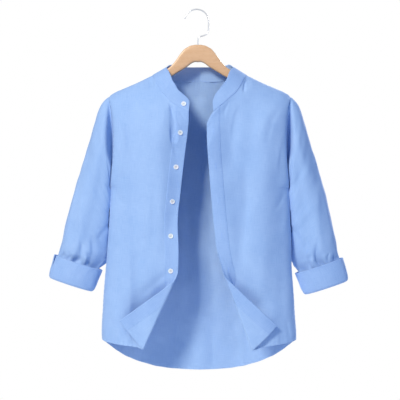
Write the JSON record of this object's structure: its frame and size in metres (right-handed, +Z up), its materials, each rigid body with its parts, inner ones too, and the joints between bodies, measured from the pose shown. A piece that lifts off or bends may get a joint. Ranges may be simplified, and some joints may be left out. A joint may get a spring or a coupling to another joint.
{
  "type": "mandarin collar shirt on hanger",
  "caption": "Light blue cotton shirt with a mandarin collar, turned-up sleeves and a curved hem, worn open on a pale wooden hanger, its front corners folded back",
  "frame": {"origin": "highest point inside the hanger's hook, where a rail touches it", "axes": "+Z up, -Y the shirt's front, +X the wearer's left"},
  "size_m": [0.7658, 0.1496, 0.9284],
  "materials": {
    "cotton": "plain woven light blue cotton shirting, matt",
    "button": "off-white polyester resin, satin, turned",
    "wood": "pale beech, clear satin lacquer",
    "chrome": "bright plated steel wire"
  },
  "bodies": {
    "root": {"back": "cotton", "front_right": "cotton", "front_left": "cotton", "placket_right": "cotton", "placket_left": "cotton", "sleeve_right": "cotton", "sleeve_left": "cotton", "cuff_right": "cotton", "cuff_left": "cotton", "collar_band": "cotton", "button_collar": "button", "button_1": "button", "button_2": "button", "button_3": "button", "button_4": "button", "button_5": "button", "hanger": "wood", "hook": "chrome"}
  },
  "joints": []
}
